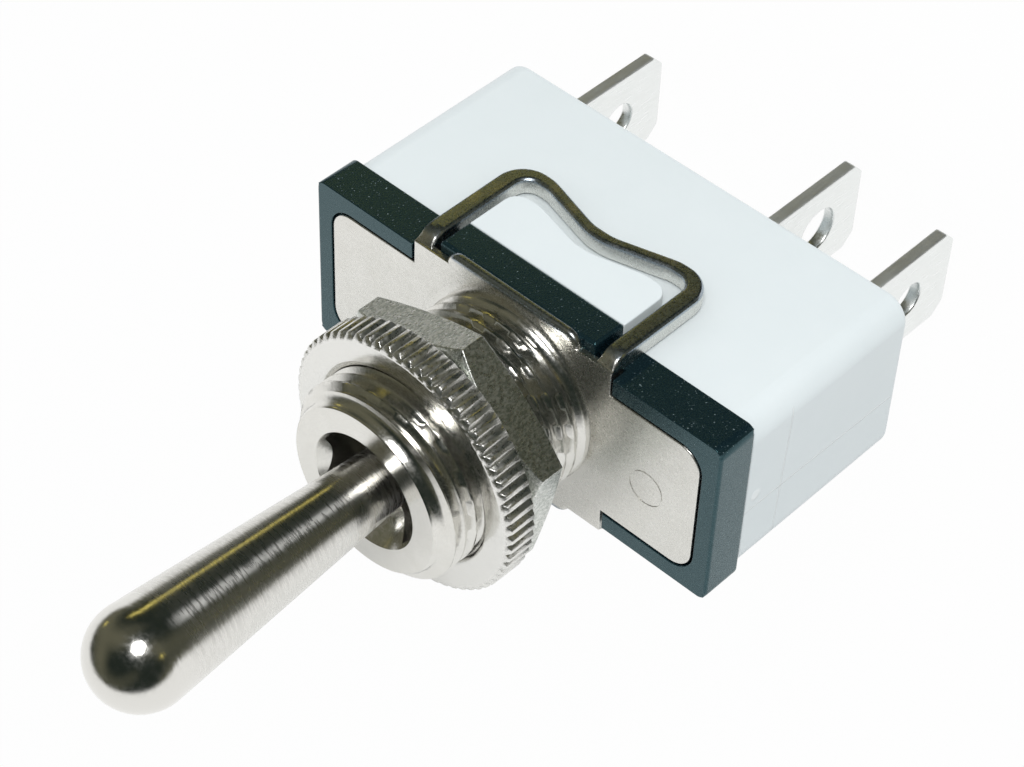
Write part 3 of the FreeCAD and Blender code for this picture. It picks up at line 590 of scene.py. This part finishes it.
def softened(node, title, *roundings):
    """A copy of a node's mesh; each rounding is (width in mm, segments, chosen)."""
    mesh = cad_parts[node].data.copy()
    mesh.name = title
    shape = bmesh.new()
    shape.from_mesh(mesh)
    bmesh.ops.remove_doubles(shape, verts=shape.verts, dist=WELD)
    bmesh.ops.dissolve_limit(
        shape, angle_limit=math.radians(FLAT_DEGREES), verts=shape.verts, edges=shape.edges)
    for width, segments, chosen in roundings:
        bmesh.ops.bevel(
            shape, geom=sharp_edges(shape, chosen), offset=width * MM, offset_type="OFFSET",
            segments=segments, profile=0.5, affect="EDGES", clamp_overlap=False)
    open_edges = sum(1 for edge in shape.edges if len(edge.link_faces) != 2)
    print(title, "faces", len(shape.faces), "open edges", open_edges)
    shape.to_mesh(mesh)
    shape.free()
    item = bpy.data.objects.new(title, mesh)
    scene.collection.objects.link(item)
    return item


def smooth(item, degrees=35):
    """Smooth shading in which large faces stay flat up to their rounded edges."""
    item.data.shade_smooth()
    item.data.set_sharp_from_angle(angle=math.radians(degrees))
    weighted = item.modifiers.new("flat faces first", "WEIGHTED_NORMAL")
    weighted.keep_sharp = True


def split_slopes(item, radius, low, least):
    """Sharp edges in a bore wherever two faces differ in slope, so no shading runs across."""
    shape = bmesh.new()
    shape.from_mesh(item.data)
    for edge in shape.edges:
        at = (edge.verts[0].co + edge.verts[1].co) / 2 / MM
        if len(edge.link_faces) == 2 and math.hypot(at.x, at.y) < radius and at.z > low:
            first, second = (face.normal.z for face in edge.link_faces)
            if abs(first - second) > least:
                edge.smooth = False
    shape.to_mesh(item.data)
    shape.free()


# %% [markdown]
# ## Geometry Nodes with few words
# The screw thread is cut by a Geometry Nodes tree. A Tree has named inputs and one output,
# and builds its nodes the way Finish does. Its run method puts the tree on an object as a
# modifier, keeps the mesh that comes out, and takes the modifier off again.

# %% A short way to build Geometry Nodes
class Tree:
    """A Geometry Nodes tree with named inputs and one output."""

    def __init__(self, name, inputs):
        self.tree = bpy.data.node_groups.new(name, "GeometryNodeTree")
        face = self.tree.interface
        self.keys = {}
        for title, kind in inputs.items():
            item = face.new_socket(title, in_out="INPUT", socket_type="NodeSocket" + kind)
            self.keys[title] = item.identifier
        face.new_socket("Geometry", in_out="OUTPUT", socket_type="NodeSocketGeometry")
        self.inputs = self.tree.nodes.new("NodeGroupInput").outputs

    def fill(self, socket, given):
        if isinstance(given, bpy.types.NodeSocket):
            self.tree.links.new(given, socket)
        else:
            socket.default_value = given

    def add(self, kind, settings=None, sockets=None):
        """A node; a list links several outputs to one socket."""
        node = self.tree.nodes.new(kind)
        for key, setting in (settings or {}).items():
            setattr(node, key, setting)
        for key, given in (sockets or {}).items():
            for one in given if isinstance(given, list) else [given]:
                self.fill(node.inputs[key], one)
        return node.outputs[0]

    def maths(self, operation, first, second):
        return self.add("ShaderNodeMath", {"operation": operation}, {0: first, 1: second})

    def vector(self, x, y, z):
        return self.add("ShaderNodeCombineXYZ", None, {"X": x, "Y": y, "Z": z})

    def finish(self, geometry):
        real = self.add("GeometryNodeRealizeInstances", None, {"Geometry": geometry})
        dressed = self.add(
            "GeometryNodeSetMaterial", None,
            {"Geometry": real, "Material": self.inputs["Material"]})
        end = self.tree.nodes.new("NodeGroupOutput")
        self.tree.links.new(dressed, end.inputs[0])

    def run(self, item, values):
        modifier = item.modifiers.new(self.tree.name, "NODES")
        modifier.node_group = self.tree
        for title, value in values.items():
            modifier[self.keys[title]] = value
        graph = bpy.context.evaluated_depsgraph_get()
        made = bpy.data.meshes.new_from_object(item.evaluated_get(graph))
        item.modifiers.remove(modifier)
        item.data = made


# %% [markdown]
# ## Bars that cut
# A bar is a section swept along a curve. The spiral one has a V-shaped section with a 60
# degree mouth and a narrow flat at the root. The ring has a rectangular section.

# %% Cutters for grooves
ROOT_FLAT = 0.07  # half the flat at the thread's root, as a share of the pitch
HALF_MOUTH = math.radians(30)
SPIRAL_STEPS = 96
RING_STEPS = 128


def spiral_cutter(tree, start, turns, turned_by):
    """A V-shaped bar along a right-hand spiral, wide side outwards."""
    root = tree.inputs["Root Radius"]
    pitch = tree.inputs["Pitch"]
    spiral = tree.add("GeometryNodeCurveSpiral", None, {
        "Resolution": SPIRAL_STEPS, "Rotations": turns, "Start Radius": root,
        "End Radius": root, "Height": tree.maths("MULTIPLY", pitch, turns), "Reverse": True})
    level = tree.add("GeometryNodeSetCurveNormal", {"mode": "Z_UP"}, {"Curve": spiral})
    deep = tree.maths("SUBTRACT", tree.inputs["Cutter Radius"], root)
    flat = tree.maths("MULTIPLY", pitch, ROOT_FLAT)
    wide = tree.maths("ADD", flat, tree.maths("MULTIPLY", deep, math.tan(HALF_MOUTH)))
    profile = tree.add("GeometryNodeCurvePrimitiveQuadrilateral", {"mode": "POINTS"}, {
        "Point 1": tree.vector(0.0, tree.maths("MULTIPLY", flat, -1.0), 0.0),
        "Point 2": tree.vector(deep, tree.maths("MULTIPLY", wide, -1.0), 0.0),
        "Point 3": tree.vector(deep, wide, 0.0),
        "Point 4": tree.vector(0.0, flat, 0.0)})
    bar = tree.add("GeometryNodeCurveToMesh", None, {
        "Curve": level, "Profile Curve": profile, "Fill Caps": True})
    return tree.add("GeometryNodeTransform", None, {
        "Geometry": bar, "Translation": tree.vector(0.0, 0.0, start),
        "Rotation": tree.vector(0.0, 0.0, turned_by)})


def ring_bar(tree, radius, wide, high, place):
    """A ring with a rectangular section."""
    circle = tree.add("GeometryNodeCurvePrimitiveCircle", {"mode": "RADIUS"}, {
        "Resolution": RING_STEPS, "Radius": radius})
    level = tree.add("GeometryNodeSetCurveNormal", {"mode": "Z_UP"}, {"Curve": circle})
    profile = tree.add("GeometryNodeCurvePrimitiveQuadrilateral", {"mode": "RECTANGLE"}, {
        "Width": wide, "Height": high})
    bar = tree.add("GeometryNodeCurveToMesh", None, {"Curve": level, "Profile Curve": profile})
    return tree.add("GeometryNodeTransform", None, {"Geometry": bar, "Translation": place})


# %% [markdown]
# ## The screw thread
# The solids leave the thread as a plain cylinder. The tree first fills the narrow groove
# behind the front stretch, because the real thread runs on there. Then one boolean takes
# out the rest: the foot of the bushing down to the plate, the two stretches of spiral, and
# the thin round line that an ejector pin left on the plate.

# %% The tree that cuts the thread
FILLING_RADIUS, FILLING_WIDE, FILLING_HIGH = 5.71 * MM, 0.44 * MM, 0.66 * MM
FOOT_RADIUS, FOOT_WIDE, FOOT_HIGH = 6.28 * MM, 0.70 * MM, 0.505 * MM
MARK_WIDE, MARK_HIGH = 0.07 * MM, 0.10 * MM

thread = Tree("screw thread", {
    "Geometry": "Geometry", "Pitch": "Float", "Root Radius": "Float", "Cutter Radius": "Float",
    "Front Start": "Float", "Front Turns": "Float", "Front Turned": "Float",
    "Rear Start": "Float", "Rear Turns": "Float", "Rear Turned": "Float",
    "Foot Place": "Vector", "Relief Place": "Vector",
    "Mark Radius": "Float", "Mark Place": "Vector", "Material": "Material"})
given = thread.inputs
filling = ring_bar(
    thread, FILLING_RADIUS, FILLING_WIDE, FILLING_HIGH, given["Relief Place"])
filled = thread.add("GeometryNodeMeshBoolean", {"operation": "UNION", "solver": "EXACT"}, {
    "Mesh 2": [given["Geometry"], filling]})
front = spiral_cutter(
    thread, given["Front Start"], given["Front Turns"], given["Front Turned"])
rear = spiral_cutter(
    thread, given["Rear Start"], given["Rear Turns"], given["Rear Turned"])
foot = ring_bar(thread, FOOT_RADIUS, FOOT_WIDE, FOOT_HIGH, given["Foot Place"])
mark = ring_bar(thread, given["Mark Radius"], MARK_WIDE, MARK_HIGH, given["Mark Place"])
grooved = thread.add("GeometryNodeMeshBoolean", {"operation": "DIFFERENCE", "solver": "EXACT"}, {
    "Mesh 1": filled, "Mesh 2": [foot, front, rear, mark]})
thread.finish(grooved)

# %% [markdown]
# ## The dressed casting
# The two loops are cast with round edges, while the plate and its tongue only have a small
# burr. The thread's pitch is 0.794 mm and its root lies 0.49 mm below the crest. The rear
# stretch is turned so that its turns lie where the picture shows them.

# %% Cut the thread into the casting
PLATE_TOP = -8.40
LOOP_ROUND, PLATE_ROUND = 0.24, 0.06
PITCH, ROOT_RADIUS, CUTTER_RADIUS = 0.794, 5.463, 6.0
FRONT_START, FRONT_TURNS = -0.635, 3.4
REAR_START, REAR_TURNS, REAR_TURNED = -7.95, 4.3, 139
FOOT_MIDDLE = PLATE_TOP + 0.2475
RELIEF_MIDDLE = -0.30
MARK_RADIUS, MARK_X, MARK_Y = 1.12, -10.1, 0.38


def on_tongue(at):
    return abs(at.x) < 5.0 and at.z > PLATE_TOP - 0.5


def on_loops(at):
    return abs(at.y) > 6.3 and at.z < PLATE_TOP - 0.3 and not on_tongue(at)


def on_plate(at):
    beside_bushing = math.hypot(at.x, at.y) > 6.6
    on_flange = abs(at.y) <= 6.3 and at.z < PLATE_TOP + 0.1
    under_tongue = on_tongue(at) and at.z < PLATE_TOP - 0.3
    return beside_bushing and (on_flange or under_tongue)


casting = softened(
    "bushing_frame", "threaded_casting", (LOOP_ROUND, 3, on_loops), (PLATE_ROUND, 2, on_plate))
thread.run(casting, {
    "Pitch": PITCH * MM, "Root Radius": ROOT_RADIUS * MM, "Cutter Radius": CUTTER_RADIUS * MM,
    "Front Start": FRONT_START * MM, "Front Turns": FRONT_TURNS, "Front Turned": 0.0,
    "Rear Start": REAR_START * MM, "Rear Turns": REAR_TURNS,
    "Rear Turned": math.radians(REAR_TURNED),
    "Foot Place": (0, 0, FOOT_MIDDLE * MM), "Relief Place": (0, 0, RELIEF_MIDDLE * MM),
    "Mark Radius": MARK_RADIUS * MM,
    "Mark Place": (MARK_X * MM, MARK_Y * MM, PLATE_TOP * MM),
    "Material": cast_material})
smooth(casting, degrees=26)
split_slopes(casting, radius=4.6, low=-3.0, least=0.12)
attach(casting, "switch_body")
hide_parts("bushing_frame")


# %% [markdown]
# ## The other outside pieces
# The mouldings, the tabs and the nuts get their roundings in the same way. The tray's outer
# edges are rounder than the rest. Each copy rides on the body of its solid and replaces it.

# %% Soften the other outside pieces
SIDE_BAND = 0.1


def anywhere(at):
    return True


def on_outside(node):
    """A test that is true for edges on the sides of a node's own box."""
    low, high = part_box(node)

    def chosen(at):
        return (min(at.x - low[0] / MM, high[0] / MM - at.x) < SIDE_BAND
                or min(at.y - low[1] / MM, high[1] / MM - at.y) < SIDE_BAND)

    return chosen


def dress_softened(node, title, body, slot_name, material, *roundings):
    """A softened copy with its material, in the place of its solid."""
    item = softened(node, title, *roundings)
    item.data.materials.clear()
    item.data.materials.append(material)
    smooth(item)
    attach(item, body)
    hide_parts(node)


dress_softened("insulating_frame", "black_tray", "switch_body", "black_moulding", black_material,
               (0.20, 3, on_outside("insulating_frame")), (0.05, 2, anywhere))
dress_softened("case", "white_case", "switch_body", "white_moulding", white_material,
               (0.08, 2, anywhere))
for node, title in (("throw_terminal_left", "left_tab"), ("throw_terminal_right", "right_tab"),
                    ("common_terminal", "common_tab")):
    dress_softened(node, title, "switch_body", "tinned_brass", tab_material, (0.13, 3, anywhere))
dress_softened("hex_nut", "hexagon_nut", "hex_nut", "nickel_nuts", nut_material,
               (0.05, 2, anywhere))
dress_softened("ring_nut", "knurled_nut", "ring_nut", "nickel_nuts", nut_material,
               (0.03, 1, anywhere))

# %% [markdown]
# ## Dress the solids
# Every solid gets its finish, also those that a copy replaces, so that none is left bare.

# %% Dress the CAD nodes
DRESS = {
    "bushing_frame": cast_material,
    "hex_nut": nut_material,
    "ring_nut": nut_material,
    "insulating_frame": black_material,
    "case": white_material,
    "throw_terminal_left": tab_material,
    "throw_terminal_right": tab_material,
    "common_terminal": tab_material,
    "fixed_contact_left": silver_material,
    "fixed_contact_right": silver_material,
    "rocker": copper_material,
    "rocker_contact_left": silver_material,
    "rocker_contact_right": silver_material,
    "lever": lever_material,
    "lever_pin": pin_material,
    "plunger": nylon_material,
    "plunger_spring": spring_material,
}
for name, material in DRESS.items():
    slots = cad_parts[name].data.materials
    slots.clear()
    slots.append(material)
print("dressed", len(DRESS), "nodes")

# %% [markdown]
# ## The view
# The Standard view keeps white paper white.

# %% Set the view
scene.view_settings.view_transform = "Standard"
